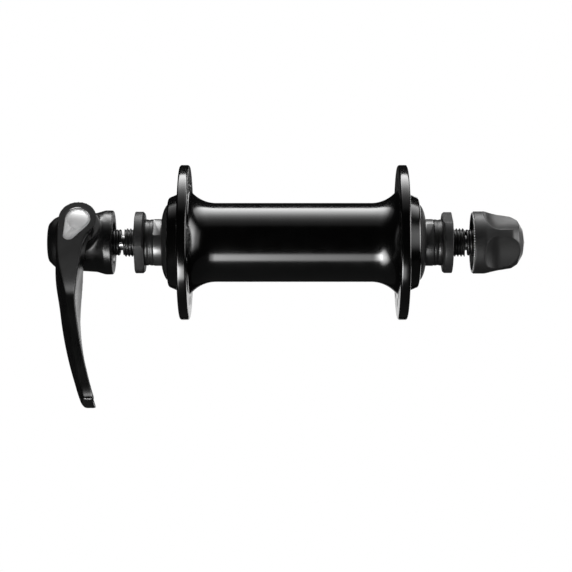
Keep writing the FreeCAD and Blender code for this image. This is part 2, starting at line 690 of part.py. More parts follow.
def spindle(sketch):
    """A construction line along the cam's axis, to turn a profile about."""
    ends = [Vector(-number("lever_face"), number("pivot_out"), 0), Vector(0, number("pivot_out"), 0)]
    index = sketch.addGeometry(Part.LineSegment(*ends), True)
    hold(sketch, "DistanceX", (index, 1), "-lever_face")
    hold(sketch, "DistanceY", (index, 1), "pivot_out")
    hold(sketch, "DistanceX", (index, 2), "0")
    hold(sketch, "DistanceY", (index, 2), "pivot_out")
    return "Axis0"


def build_clip():
    body = new_body("cam_clip")
    cross_disc(body, "ring", "pivot_out", "clip_diameter", "clip_floor + running_gap", "clip_width")
    cross_disc(body, "hole", "pivot_out", "cam_tail + 2 * thread_gap", "clip_floor - 1", "clip_width + 2", cut=True)
    place(body, "lever_tilt")


# The blade's sections: share of its length below the pivot, then as shares of its width at the eye,
# from the pivot's line along the axle: inner edge, front width, how far the outer face bows out, how
# far the inner face is hollowed; then where the front and back edges lie between face and back.
BLADE = [
    (0.015, -0.492, 1.017, 0.002, 0.002, 0.0, 0.23),
    (0.12, -0.217, 0.742, 0.002, 0.002, 0.0, 0.23),
    (0.18, -0.158, 0.667, 0.025, 0.008, 0.0, 0.36),
    (0.23, -0.133, 0.617, 0.083, 0.05, -0.01, 0.68),
    (0.31, -0.092, 0.483, 0.158, 0.117, -0.045, 0.92),
    (0.42, -0.067, 0.308, 0.2, 0.158, -0.01, 1.0),
    (0.64, -0.2, 0.242, 0.192, 0.158, 0.08, 1.0),
    (0.82, -0.417, 0.258, 0.15, 0.117, 0.19, 0.97),
    (0.93, -0.558, 0.275, 0.108, 0.075, 0.3, 0.85),
    (1.0, -0.658, 0.258, 0.042, 0.025, 0.42, 0.64),
]


def bow(near, far, rise):
    """The radius of an arc over the stretch from near to far that rises by this much."""
    return f"(((({far}) - ({near})) / 2) ^ 2 + {rise} ^ 2) / (2 * {rise})"


def build_lever():
    body = new_body("lever")
    cross_disc(body, "eye", "pivot_out", "eye_round", "-lever_face", "lever_face - lever_back")
    sections = []
    for index, (share, inner, width, crown, hollow, front, back) in enumerate(BLADE):
        sketch = new_sketch(body, f"section_{index}", "XY_Plane", f"-({share} * blade_length)")
        near = f"-(lever_face - {front} * (lever_face - blade_back))"
        far = f"-(lever_face - {back} * (lever_face - blade_back))"
        low = f"pivot_out + ({inner}) * blade_width"
        high = f"pivot_out + ({inner} + {width}) * blade_width"
        outline(sketch, [
            (near, low, "-(" + bow(near, far, f"({hollow} * blade_width)") + ")"),
            (near, high),
            (far, high, bow(near, far, f"({crown} * blade_width)")),
            (far, low),
        ])
        sections.append(sketch)
    blade = body.newObject("PartDesign::AdditiveLoft", "blade")
    blade.Profile = sections[0]
    blade.Sections = [(section, [""]) for section in sections[1:]]
    blade.Ruled = True
    keyhole, cutter = cross_layer(body, "keyhole", "-(lever_face + 1)", "lever_face + 2 - lever_back", cut=True)
    teardrop(keyhole, "insert_gap")
    place(body, "lever_tilt")


# Skewer rod: from the eye in the head to the thread in the nut
def build_rod():
    body = new_body("skewer_rod")
    turned(body, "rod", [
        ("0", "-rod_end"),
        ("rod_diameter / 2 - rod_point", "-rod_end"),
        ("rod_diameter / 2", "rod_point - rod_end"),
        ("rod_diameter / 2", "eye_out - eye_diameter / 2 + rod_point"),
        ("0", "eye_out - eye_diameter / 2 + rod_point"),
    ])
    cross_disc(body, "eye", "eye_out", "eye_diameter", "-eye_width / 2", "eye_width")
    oval, hole = cross_layer(body, "eye_hole", "-eye_width / 2 - 1", "eye_width + 2", cut=True)
    belt(oval, ("eye_out", "eye_reach - eye_half", "2 * eye_half"),
         ("eye_out", "eye_half - eye_reach", "2 * eye_half"))
    place(body, "lever_tilt")


# Adjusting nut: a threaded steel insert in a moulded cap
def build_nut_insert():
    body = new_body("nut_insert")
    turned(body, "insert", [
        ("recess_diameter / 2", "nut_face"),
        ("insert_diameter / 2", "nut_face"),
        ("insert_diameter / 2", "ring_out"),
        ("insert_hub / 2", "ring_out"),
        ("insert_hub / 2", "insert_hub_out"),
        ("insert_boss / 2", "insert_hub_out"),
        ("insert_boss / 2", "insert_out"),
        ("rod_hole", "insert_out"),
        ("rod_hole", "nut_recess_floor"),
        ("recess_diameter / 2", "nut_recess_floor"),
    ])
    place(body, "nut_turn", True)


def build_nut_cap():
    body = new_body("nut_cap")
    turned(body, "cap", [
        ("insert_diameter / 2 + seat_gap", "cap_in"),
        ("insert_diameter / 2 + seat_gap", "ring_out"),
        ("insert_hub / 2 + seat_gap", "ring_out"),
        ("insert_hub / 2 + seat_gap", "insert_hub_out"),
        ("insert_boss / 2 + seat_gap", "insert_hub_out"),
        ("insert_boss / 2 + seat_gap", "insert_out"),
        ("cap_cavity / 2", "insert_out"),
        ("cap_cavity / 2", "cap_tip_out - cap_tip_wall"),
        ("0", "cap_tip_out - cap_tip_wall"),
        ("0", "cap_tip_out"),
        ("tip_diameter / 2", "cap_tip_out - tip_rise", "tip_bend"),
        ("bevel_diameter / 2", "cap_tip_out - bevel_back"),
        ("ridge_diameter / 2", "cap_tip_out - ridge_back", "bevel_round"),
        ("collar_diameter / 2", "nut_face + collar_end"),
        ("collar_diameter / 2", "cap_in + collar_edge"),
        ("collar_diameter / 2 - collar_edge", "cap_in"),
    ])
    doc.recompute()
    cutter = new_sketch(body, "scallop_profile", "XY_Plane")
    outline(cutter, [
        ("scallop_axis", "nut_face + scallop_start"),
        ("scallop_axis", "cap_tip_out + 1"),
        ("scallop_floor", "cap_tip_out + 1"),
        ("scallop_floor", "nut_face + scallop_start + scallop_round"),
        ("scallop_floor + scallop_round", "nut_face + scallop_start", "-scallop_round"),
    ])
    ends = [Vector(number("scallop_axis"), 0, 0), Vector(number("scallop_axis"), number("nut_face"), 0)]
    axis = cutter.addGeometry(Part.LineSegment(*ends), True)
    hold(cutter, "DistanceX", (axis, 1), "scallop_axis")
    hold(cutter, "DistanceY", (axis, 1), "0")
    hold(cutter, "DistanceX", (axis, 2), "scallop_axis")
    hold(cutter, "DistanceY", (axis, 2), "nut_face")
    scallop = body.newObject("PartDesign::Groove", "scallop")
    scallop.Profile = cutter
    scallop.ReferenceAxis = (cutter, ["Axis0"])
    scallop.Angle = 360.0
    round_pattern(body, "scallops", scallop, "scallop_count")
    place(body, "nut_turn", True)


# Springs: a conical coil on each side, small end at the axle, large end in the recess
def biarc(start, start_way, end, end_way):
    """Two arcs that join two points and leave and reach them along the given ways."""
    chord = end - start
    both = start_way + end_way
    bend = 2 * (1 - start_way.dot(end_way))
    along = chord.dot(both)
    reach = (math.sqrt(along**2 + bend * chord.dot(chord)) - along) / bend
    corners = [start + start_way * reach, end - end_way * reach]
    join = (corners[0] + corners[1]) / 2
    return [tangent_arc(start, corners[0], join), tangent_arc(join, corners[1], end)]


def tangent_arc(start, corner, end):
    """The arc from start to end whose tangents meet at the corner."""
    middle = (start + end) / 2
    height = (corner - middle).Length
    half = (end - start).Length / 2
    rise = half * (math.sqrt(1 + (height / half) ** 2) - 1) / (height / half)
    return Part.Arc(start, middle + (corner - middle).normalize() * rise, end).toShape()


def build_spring(side, right, seat_out):
    wire = number("spring_wire")
    small, large = number("spring_small") / 2, number("spring_large") / 2
    first = number("axle_out + spring_gap + spring_wire / 2")
    last = number(f"{seat_out} - spring_gap - spring_wire / 2")
    turns = number("spring_turns")
    steps = math.ceil(turns * 4)

    def point(share):
        angle = 2 * math.pi * turns * share
        radius = small + (large - small) * share
        return Vector(radius * math.cos(angle), first + (last - first) * share, -radius * math.sin(angle))

    def way(share):
        """The direction of the wire there, from the helix's own derivative."""
        angle = 2 * math.pi * turns * share
        radius = small + (large - small) * share
        grow, spin = large - small, 2 * math.pi * turns
        slope = Vector(
            grow * math.cos(angle) - radius * spin * math.sin(angle),
            last - first,
            -grow * math.sin(angle) - radius * spin * math.cos(angle),
        )
        return slope.normalize()

    edges = []
    for step in range(steps):
        a, b = step / steps, (step + 1) / steps
        edges += biarc(point(a), way(a), point(b), way(b))
    path = Part.Wire(edges)
    ring = Part.Wire(Part.makePolygon(wire_section(point(0), way(0), wire / 2)))
    pipe = Part.BRepOffsetAPI.MakePipeShell(path)
    pipe.add(ring)
    pipe.build()
    pipe.makeSolid()
    spring = doc.addObject("Part::Feature", f"{side}_spring")
    spring.Label = f"{side}_spring"
    spring.Shape = pipe.shape()
    place(spring, "0", right)
    print(f"{side}_spring: least gap to itself {self_gap(point, turns, wire):.2f} mm,",
          f"volume {spring.Shape.Volume:.1f} mm3, path {path.Length:.1f} mm")


def wire_section(centre, normal, radius):
    """The corners of the wire's section, a round drawn with eight sides."""
    sides = 8
    across = normal.cross(Vector(0, 1, 0)).normalize()
    up = across.cross(normal)
    turn = [2 * math.pi * (i + 0.5) / sides for i in range(sides)]
    corners = [centre + across * radius * math.cos(a) + up * radius * math.sin(a) for a in turn]
    return corners + corners[:1]


def self_gap(point, turns, wire):
    """The least distance between a coil and the next one along, less the wire."""
    samples = 400
    lap = 1 / turns
    points = [(i / samples, point(i / samples)) for i in range(samples + 1)]
    return min(
        (p - q).Length - wire for a, p in points for b, q in points if lap / 2 < b - a
    )


build_axle()
for side, right in (("left", False), ("right", True)):
    build_cone(side, right)
    build_cone_seal(side, right)
    build_spacer(side, right)
    build_locknut(side, right)
    build_cup(side, right)
    build_dust_cap(side, right)
    build_balls(side, right)
    build_cage(side, right)
build_shell()
build_housing()
build_washer()
build_cam_shaft()
build_clip()
build_lever()
build_rod()
build_nut_insert()
build_nut_cap()
build_spring("left", False, "recess_floor")
build_spring("right", True, "nut_recess_floor")
doc.recompute()

# Nothing is written unless every piece came out whole
for thing in doc.Objects:
    if {"Invalid", "Error"} & set(thing.State):
        raise RuntimeError(f"{thing.Name} failed: {thing.State}")
pieces = [o for o in doc.Objects if o.TypeId in ("PartDesign::Body", "Part::Feature") and o.Label == o.Name]
for piece in pieces:
    if piece.Shape.isNull() or not piece.Shape.isValid() or piece.Shape.Volume < 1e-3:
        raise RuntimeError(f"{piece.Label} has no sound shape")
    if piece.TypeId == "PartDesign::Body":
        check_cuts(piece)
os.makedirs("parts", exist_ok=True)
for piece in pieces:
    piece.Shape.exportStep(f"parts/{piece.Label}.step")
print(len(pieces), "pieces")
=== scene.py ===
import bmesh
import bpy
import json
import math
from mathutils import Matrix, Vector

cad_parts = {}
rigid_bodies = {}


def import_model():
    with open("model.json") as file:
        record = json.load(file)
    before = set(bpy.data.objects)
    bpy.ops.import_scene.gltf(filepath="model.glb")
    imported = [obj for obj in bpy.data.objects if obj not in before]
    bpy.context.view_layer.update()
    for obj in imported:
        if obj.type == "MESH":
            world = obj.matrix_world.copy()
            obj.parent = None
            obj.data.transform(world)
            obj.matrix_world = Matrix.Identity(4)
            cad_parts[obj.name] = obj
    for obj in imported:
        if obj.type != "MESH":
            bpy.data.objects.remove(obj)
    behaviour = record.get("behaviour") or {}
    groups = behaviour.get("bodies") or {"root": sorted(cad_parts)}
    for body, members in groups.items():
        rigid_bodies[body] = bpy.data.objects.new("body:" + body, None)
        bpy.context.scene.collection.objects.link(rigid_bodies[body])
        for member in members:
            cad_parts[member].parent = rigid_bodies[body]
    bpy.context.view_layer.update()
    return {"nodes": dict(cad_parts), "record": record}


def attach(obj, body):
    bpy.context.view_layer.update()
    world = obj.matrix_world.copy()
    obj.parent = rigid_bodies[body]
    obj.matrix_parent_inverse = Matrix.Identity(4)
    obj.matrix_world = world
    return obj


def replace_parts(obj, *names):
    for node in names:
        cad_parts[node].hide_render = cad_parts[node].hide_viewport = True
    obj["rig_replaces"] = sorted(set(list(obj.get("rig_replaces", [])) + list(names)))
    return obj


# A bicycle front hub with its quick release skewer. The axle lies along Y with the lever at +Y,
# and the photograph's camera looks along +X. Sizes are in millimetres until a piece is made.
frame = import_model()
MM = 0.001
TEETH = 72

# Sizes along the axle, from the hub's centre outward, and radii
LOCKNUT_OUT = 50.0
LOCKNUT_WIDTH = 3.1
SPACER_WIDTH = 2.7
CONE_OUT = LOCKNUT_OUT - LOCKNUT_WIDTH - SPACER_WIDTH
AXLE_OUT = 54.0
AXLE_RADIUS = 4.5
THREAD_ROOT = 3.95
THREAD_PITCH = 1.0
SHELL_OUT = 39.6
FLANGE_IN = 32.8
FLANGE_OUT = 35.9
FLANGE_RADIUS = 24.5
HEAD_FACE = 56.8
PIVOT_OUT = 67.0
NUT_FACE = 56.3
RECESS_RADIUS = 6.7
RECESS_DEPTH = 3.9
TILT = math.radians(30)
LEVER_FACE = 15.0
TURNS = {"left_cone": 47.0, "right_cone": 24.0, "left_locknut": -37.0, "right_locknut": 69.0}
NUT_TURN = -25.0


# Modelling helpers

def deselect():
    bpy.ops.object.select_all(action="DESELECT")


def activate(piece):
    deselect()
    piece.select_set(True)
    bpy.context.view_layer.objects.active = piece


def edit(piece):
    activate(piece)
    bpy.ops.object.mode_set(mode="EDIT")
    bpy.ops.mesh.select_all(action="SELECT")


def leave():
    bpy.ops.object.mode_set(mode="OBJECT")


def modify(piece, kind, **settings):
    """Add a modifier, set it and apply it."""
    activate(piece)
    modifier = piece.modifiers.new(kind.title(), kind)
    for name, value in settings.items():
        setattr(modifier, name, value)
    bpy.ops.object.modifier_apply(modifier=modifier.name)
    return piece


def remove(piece):
    bpy.data.objects.remove(piece)


def carve(piece, cutter, operation="DIFFERENCE"):
    modify(piece, "BOOLEAN", operation=operation, object=cutter, solver="EXACT")
    remove(cutter)
    return piece


def join(pieces):
    activate(pieces[0])
    for piece in pieces:
        piece.select_set(True)
    bpy.ops.object.join()
    return bpy.context.object


def settle():
    """Give a piece's location, turn and scale to its mesh."""
    bpy.ops.object.transform_apply(location=True, rotation=True, scale=True)


def draw(name, points, closed):
    """A chain of edges: one point, extruded from place to place."""
    deselect()
    bpy.ops.mesh.primitive_plane_add(size=MM)
    piece = bpy.context.object
    piece.name = name
    bpy.ops.object.mode_set(mode="EDIT")
    bpy.ops.mesh.select_all(action="SELECT")
    bpy.ops.mesh.merge(type="CENTER")
    bpy.ops.transform.translate(value=Vector(points[0]) * MM)
    for before, after in zip(points, points[1:]):
        step = (Vector(after) - Vector(before)) * MM
        bpy.ops.mesh.extrude_region_move(TRANSFORM_OT_translate={"value": step})
    if closed:
        mesh = bmesh.from_edit_mesh(piece.data)
        mesh.verts.ensure_lookup_table()
        for corner in mesh.verts:
            corner.select_set(corner.index in (0, len(mesh.verts) - 1))
        bmesh.update_edit_mesh(piece.data)
        bpy.ops.mesh.edge_face_add()
    return piece


def lathe(name, profile, steps=160, closed=True, centre=(0, 0, 0), axis=(0, 1, 0)):
    """A turned piece from a profile of (radius, place along the axis) points.

    An open profile starts and ends on the axis. The profile is drawn on the +Z side of an axis
    along Y, and on the +Y side of an axis along X.
    """
    along, out = Vector(axis), Vector((0, 1, 0)) if axis[0] else Vector((0, 0, 1))
    points = [Vector(centre) + along * place + out * radius for radius, place in profile]
    piece = draw(name, points, closed)
    bpy.ops.mesh.select_all(action="SELECT")
    bpy.ops.mesh.spin(steps=steps, angle=2 * math.pi, center=Vector(centre) * MM, axis=axis)
    bpy.ops.mesh.select_all(action="SELECT")
    bpy.ops.mesh.remove_doubles(threshold=0.002 * MM)
    bpy.ops.mesh.normals_make_consistent(inside=False)
    leave()
    return piece


def rounded(corners, pieces=6):
    """A profile whose corners given as (radius, place, round) are rounded off by an arc."""
    points = []
    count = len(corners)
    for index, corner in enumerate(corners):
        here = Vector(corner[:2])
        if len(corner) < 3:
            points.append(tuple(here))
            continue
        back = (Vector(corners[index - 1][:2]) - here).normalized()
        ahead = (Vector(corners[(index + 1) % count][:2]) - here).normalized()
        half = back.angle(ahead) / 2
        reach = corner[2] / math.tan(half)
        centre = here + (back + ahead).normalized() * (corner[2] / math.sin(half))
        first, last = here + back * reach - centre, here + ahead * reach - centre
        sweep = first.angle_signed(last)
        for step in range(pieces + 1):
            spoke = first.copy()
            spoke.rotate(Matrix.Rotation(-sweep * step / pieces, 2))
            points.append(tuple(centre + spoke))
    return points


def swing(centre, radius, start, end, pieces=12):
    """Points of an arc, with angles in degrees from the radial way towards the axle's way."""
    angles = [math.radians(start + (end - start) * step / pieces) for step in range(pieces + 1)]
    return [(centre[0] + radius * math.cos(a), centre[1] + radius * math.sin(a)) for a in angles]


def mirrored(half):
    """A profile and its mirror image across the hub's middle, as one closed outline."""
    return half + [(radius, -place) for radius, place in reversed(half)]


def block(name, low, high):
    """A box between two corners, for cutting."""
    deselect()
    middle = (Vector(low) + Vector(high)) / 2 * MM
    bpy.ops.mesh.primitive_cube_add(size=1, location=middle)
    piece = bpy.context.object
    piece.name = name
    piece.scale = (Vector(high) - Vector(low)) * MM
    settle()
    return piece


def rod(name, radius, start, end, centre=(0, 0), axis="Y", steps=96):
    """A round bar along an axis; centre gives its other two coordinates, in X, Y, Z order."""
    deselect()
    middle, length = (start + end) / 2, abs(end - start)
    place = {"Y": (centre[0], middle, centre[1]), "X": (middle, centre[0], centre[1])}[axis]
    turn = {"Y": (math.pi / 2, 0, 0), "X": (0, math.pi / 2, 0)}[axis]
    bpy.ops.mesh.primitive_cylinder_add(
        vertices=steps, radius=radius * MM, depth=length * MM, location=Vector(place) * MM, rotation=turn)
    piece = bpy.context.object
    piece.name = name
    settle()
    return piece


def spin_round(piece, degrees):
    """Turn a piece about the axle; an angle lifts the side that faces the camera."""
    piece.data.transform(Matrix.Rotation(math.radians(degrees), 4, "Y"))
    return piece


def other_side(piece):
    """Turn a piece made for the left side end for end."""
    piece.data.transform(Matrix.Rotation(math.pi, 4, "Z"))
    return piece


def soften(piece, width, limit=30, segments=2):
    """A small round on every edge that is sharper than the limit."""
    return modify(piece, "BEVEL", width=width * MM, segments=segments, limit_method="ANGLE",
                  angle_limit=math.radians(limit), use_clamp_overlap=True)


def melt(piece, voxel, passes):
    """Make one skin of all the shells in a piece, and smooth it, so that inner corners fill."""
    modify(piece, "REMESH", mode="VOXEL", voxel_size=voxel * MM, use_smooth_shade=True)
    return modify(piece, "SMOOTH", factor=0.5, iterations=passes)


# Shader helpers

class Socket:
    """A shader socket that does maths like a number."""

    def __init__(self, finish, socket):
        self.finish, self.socket = finish, socket

    def maths(self, operation, other, swap=False):
        pair = (other, self) if swap else (self, other)
        return self.finish.node("ShaderNodeMath", {"operation": operation}, pair)

    def __add__(self, other):
        return self.maths("ADD", other)

    def __sub__(self, other):
        return self.maths("SUBTRACT", other)

    def __rsub__(self, other):
        return self.maths("SUBTRACT", other, swap=True)

    def __mul__(self, other):
        return self.maths("MULTIPLY", other)

    def __truediv__(self, other):
        return self.maths("DIVIDE", other)

    def __pow__(self, other):
        return self.maths("POWER", other)

    __radd__ = __add__
    __rmul__ = __mul__


class Finish:
    """A node tree being built, for a material, a lamp or the world."""

    def __init__(self, owner):
        owner.use_nodes = True
        self.tree = owner.node_tree
        self.tree.nodes.clear()

    def node(self, kind, settings=None, inputs=(), output=0):
        """Add a node: its settings first, then its inputs by place or by name."""
        node = self.tree.nodes.new(kind)
        for name, value in (settings or {}).items():
            if name == "ramp":
                self.set_ramp(node.color_ramp, value)
            else:
                setattr(node, name, value)
        pairs = inputs.items() if isinstance(inputs, dict) else enumerate(inputs)
        for name, value in pairs:
            if isinstance(value, Socket):
                self.tree.links.new(value.socket, node.inputs[name])
            else:
                node.inputs[name].default_value = value
        return Socket(self, node.outputs[output]) if node.outputs else node

    @staticmethod
    def set_ramp(ramp, stops):
        while len(ramp.elements) > 2:
            ramp.elements.remove(ramp.elements[-1])
        for index, (place, grey) in enumerate(stops):
            stop = ramp.elements[index] if index < 2 else ramp.elements.new(place)
            stop.position = place
            stop.color = (grey, grey, grey, 1)

    def ramp(self, value, stops, smooth=False):
        socket = self.node("ShaderNodeValToRGB", {"ramp": stops}, (value,))
        if smooth:
            socket.socket.node.color_ramp.interpolation = "EASE"
        return socket

    def split(self, vector):
        parts = self.node("ShaderNodeSeparateXYZ", None, (vector,)).socket.node
        return [Socket(self, out) for out in parts.outputs]

    def place(self):
        """The point on the piece, in millimetres."""
        point = self.node("ShaderNodeTexCoord", output="Object")
        return self.node("ShaderNodeVectorMath", {"operation": "SCALE"}, {0: point, "Scale": 1 / MM})

    def noise(self, point, scale, detail=3.0, rough=0.5):
        return self.node("ShaderNodeTexNoise", None,
                         {"Vector": point, "Scale": scale, "Detail": detail, "Roughness": rough})

    def mix(self, factor, first, second):
        """A colour between two colours."""
        socket = self.node("ShaderNodeMix", {"data_type": "RGBA"}, {0: factor, 6: first, 7: second}, output=2)
        return socket

    def stretch(self, point, x, y, z):
        """The point with its three ways scaled apart, for grain that runs one way."""
        return self.node("ShaderNodeVectorMath", {"operation": "MULTIPLY"}, {0: point, 1: (x, y, z)})


def round_grain(finish, point, fine, across=1.0):
    """Noise in rings round the axle, as a lathe leaves it; it changes with radius and along Y."""
    x, y, z = finish.split(point)
    radius = (x * x + z * z) ** 0.5
    rings = finish.node("ShaderNodeCombineXYZ", None, (radius * fine, y * fine, 0.0))
    return finish.noise(rings, across, 2.0)


def grey(level, tint=0.0):
    """A neutral colour, a little blue where tint is above 0 and warm where it is below."""
    return (level * (1 - tint), level, level * (1 + tint), 1)


def metal_finish(name, colour, dark, rough, metallic=0.0, specular=0.5, coat=0.0, grain="cloud",
                 grain_size=1.2, grain_depth=0.02, rough_spread=0.08, worn=0.0):
    """A surface with a base colour that varies, a roughness that varies and a fine relief."""
    material = bpy.data.materials.new(name)
    finish = Finish(material)
    point = finish.place()
    if grain == "turned":
        texture = round_grain(finish, point, grain_size)
    elif grain == "long":
        texture = finish.noise(finish.stretch(point, grain_size, grain_size * 0.06, grain_size), 1.0, 3.0)
    else:
        texture = finish.noise(point, grain_size, 4.0, 0.6)
    blotch = finish.noise(point, 0.16, 3.0)
    patch = finish.ramp(blotch, ((0.35, 0.0), (0.65, 1.0)))
    tone = finish.mix(patch * 0.7 + texture * 0.3, colour, dark)
    if worn:
        specks = finish.ramp(finish.noise(point, 2.6, 6.0, 0.7), ((0.66, 0.0), (0.74, 1.0)))
        tone = finish.mix(specks * worn, tone, grey(0.22))
    roughness = patch * rough_spread + (texture - 0.5) * (rough_spread * 0.8) + rough
    bump = finish.node("ShaderNodeBump", None,
                       {"Strength": 1.0, "Distance": grain_depth * MM, "Height": texture})
    shader = finish.node("ShaderNodeBsdfPrincipled", None, {
        "Base Color": tone,
        "Roughness": roughness,
        "Metallic": metallic,
        "Specular IOR Level": specular,
        "Coat Weight": coat,
        "Normal": bump,
    })
    finish.node("ShaderNodeOutputMaterial", None, (shader,))
    return material


def toothed_steel():
    """The nut's insert: dark steel whose tooth crests at the rim are painted bright, a painted glint where the teeth
    catch the light.
    """
    material = bpy.data.materials.new("toothed_steel_painted_glints")
    finish = Finish(material)
    point = finish.place()
    x, y, z = finish.split(point)
    rim = finish.ramp((x * x + z * z) ** 0.5 * 0.1, ((0.88, 0.0), (0.9, 1.0)))
    turn = finish.node("ShaderNodeMath", {"operation": "ARCTAN2"}, (z, x))
    wave = finish.node("ShaderNodeMath", {"operation": "COSINE"}, (turn * TEETH,))
    crest = finish.ramp(0.5 - wave * 0.5, ((0.4, 0.0), (0.6, 1.0)))
    cloud = finish.noise(point, 3.0, 4.0)
    # Painted glints: the tooth crests at the rim are coloured near white, the rest of the face stays dark steel.
    tone = finish.mix(rim * crest, grey(0.02), grey(0.9))
    bump = finish.node("ShaderNodeBump", None, {"Strength": 1.0, "Distance": 0.004 * MM, "Height": cloud})
    shader = finish.node("ShaderNodeBsdfPrincipled", None, {
        "Base Color": tone, "Roughness": cloud * 0.1 + 0.38, "Metallic": 0.4, "Normal": bump})
    finish.node("ShaderNodeOutputMaterial", None, (shader,))
    return material


FINISHES = {
    "black_anodised_shell": metal_finish(
        "black_gloss_anodised", grey(0.0008), grey(0.0015), 0.15, specular=0.97,
        grain="turned", grain_size=2.4, grain_depth=0.0006, rough_spread=0.03),
    "black_head": metal_finish(
        "black_satin_cast", grey(0.0018), grey(0.0035), 0.27, specular=0.92,
        grain_size=3.0, grain_depth=0.0015, rough_spread=0.05),
    "black_lever": metal_finish(
        "black_satin_forged", grey(0.0022), grey(0.0035), 0.27, specular=0.92,
        grain_size=2.6, grain_depth=0.0015, rough_spread=0.05),
    "black_cap": metal_finish(
        "black_pressed_steel", grey(0.007), grey(0.011), 0.55, specular=0.25,
        grain="turned", grain_size=2.0, grain_depth=0.001),
    "blackened_steel": metal_finish(
        "blackened_turned_steel", grey(0.09), grey(0.05), 0.34, metallic=0.85,
        grain="turned", grain_size=3.2, grain_depth=0.004, worn=0.25),
    "seal_rubber": metal_finish(
        "seal_rubber", grey(0.02), grey(0.033), 0.62, specular=0.6, grain_size=3.4, grain_depth=0.01),
    "bearing_steel": metal_finish(
        "ground_bearing_steel", grey(0.62), grey(0.55), 0.12, metallic=1.0,
        grain="turned", grain_size=4.0, grain_depth=0.0008),
    "retainer_steel": metal_finish(
        "stamped_retainer_steel", (0.52, 0.47, 0.38, 1), (0.42, 0.38, 0.31, 1), 0.3, metallic=1.0,
        grain_size=2.2, grain_depth=0.004),
    "spring_steel": metal_finish(
        "blackened_spring_wire", grey(0.07), grey(0.04), 0.32, metallic=0.85, grain="turned",
        grain_size=5.0, grain_depth=0.002),
    "washer_plastic": metal_finish(
        "black_nylon_washer", grey(0.023), grey(0.035), 0.45, grain_size=2.4, grain_depth=0.004),
    "bright_cam": metal_finish(
        "satin_nickel", grey(0.93), grey(0.87), 0.45, metallic=0.45,
        grain_size=1.6, grain_depth=0.0002, rough_spread=0.05),
    "rod_steel": metal_finish(
        "drawn_rod_steel", grey(0.4), grey(0.32), 0.28, metallic=1.0, grain="long",
        grain_size=3.0, grain_depth=0.002),
    "nut_grey": metal_finish(
        "dark_grey_matt", grey(0.007), grey(0.011), 0.42, specular=0.75,
        grain_size=4.2, grain_depth=0.006, rough_spread=0.1),
    "nut_steel": toothed_steel(),
    "cone_steel": metal_finish(
        "ground_dark_steel", grey(0.18), grey(0.13), 0.3, metallic=0.9, grain="turned",
        grain_size=3.2, grain_depth=0.002),
    "locknut_steel": metal_finish(
        "black_oxide_steel", grey(0.03), grey(0.024), 0.4, metallic=0.3, specular=0.8,
        grain_size=3.2, grain_depth=0.003),
}
SLOT_OF = {part["node"]: part["material_slot"] for part in frame["record"]["subparts"]}
FINISH_OF = dict(SLOT_OF, left_cone="cone_steel", right_cone="cone_steel",
                 left_locknut="locknut_steel", right_locknut="locknut_steel")


def body_of(node):
    bodies = frame["record"]["behaviour"]["bodies"]
    return next(body for body, nodes in bodies.items() if node in nodes)


def hand_over(piece, node, name=None, sharp=32):
    """Finish a piece that stands for a node: its shading, material, body and slot."""
    activate(piece)
    piece.name = name or node + "_surface"
    bpy.ops.object.shade_smooth_by_angle(angle=math.radians(sharp))
    piece.data.materials.clear()
    piece.data.materials.append(FINISHES[FINISH_OF[node]])
    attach(piece, body_of(node))
    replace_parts(piece, node)
    return piece


# Hub shell: turned as one piece, then drilled for the spokes

BORE_RADIUS = 9.5
MOUTH_RADIUS = 12.22
CUP_IN = 33.15
BARREL_RADIUS = 12.5
BARREL_HALF = 24.5
ROOT_RADIUS = 16.7
SPOKE_CIRCLE = 19.0
SPOKE_HOLE = 1.3
SPOKES = 12


def shell_profile():
    rise = ROOT_RADIUS - BARREL_RADIUS
    run = FLANGE_IN - BARREL_HALF
    radius = (run ** 2 + rise ** 2) / (2 * rise)
    turn = math.degrees(math.asin(run / radius))
    sweep = swing((BARREL_RADIUS + radius, BARREL_HALF), radius, 180, 180 - turn, 22)
    flange = rounded([
        sweep[-2],
        (*sweep[-1], 0.8),
        (FLANGE_RADIUS, FLANGE_IN, 0.7),
        (FLANGE_RADIUS, FLANGE_OUT, 0.7),
        (15.6, FLANGE_OUT, 0.5),
        (14.0, SHELL_OUT, 1.1),
        (12.7, SHELL_OUT, 0.3),
        (12.5, SHELL_OUT - 0.3),
        (MOUTH_RADIUS, SHELL_OUT - 0.5),
        (MOUTH_RADIUS, CUP_IN),
        (BORE_RADIUS, CUP_IN),
    ])
    outside = sweep[:-2] + flange
    return mirrored(outside)


def drill(angle, side):
    """A spoke drill with countersinks at both faces of the flange."""
    point = (-SPOKE_CIRCLE * math.cos(angle), 0, SPOKE_CIRCLE * math.sin(angle))
    profile = [(0.0, FLANGE_IN - 0.6), (2.1, FLANGE_IN - 0.6), (SPOKE_HOLE, FLANGE_IN + 0.22),
               (SPOKE_HOLE, FLANGE_OUT - 0.22), (2.1, FLANGE_OUT + 0.6), (0.0, FLANGE_OUT + 0.6)]
    tool = lathe("drill", [(radius, place * side) for radius, place in profile], 28, closed=False)
    tool.data.transform(Matrix.Translation(Vector(point) * MM))
    return tool


def hub_shell():
    shell = lathe("hub_shell_surface", shell_profile(), 224)
    step = 2 * math.pi / SPOKES
    tools = [drill(step * (index + 0.5), 1) for index in range(SPOKES)]
    tools += [drill(step * index, -1) for index in range(SPOKES)]
    carve(shell, join(tools))
    return hand_over(shell, "hub_shell", sharp=28)


# Turned pieces on the axle, made for the left side

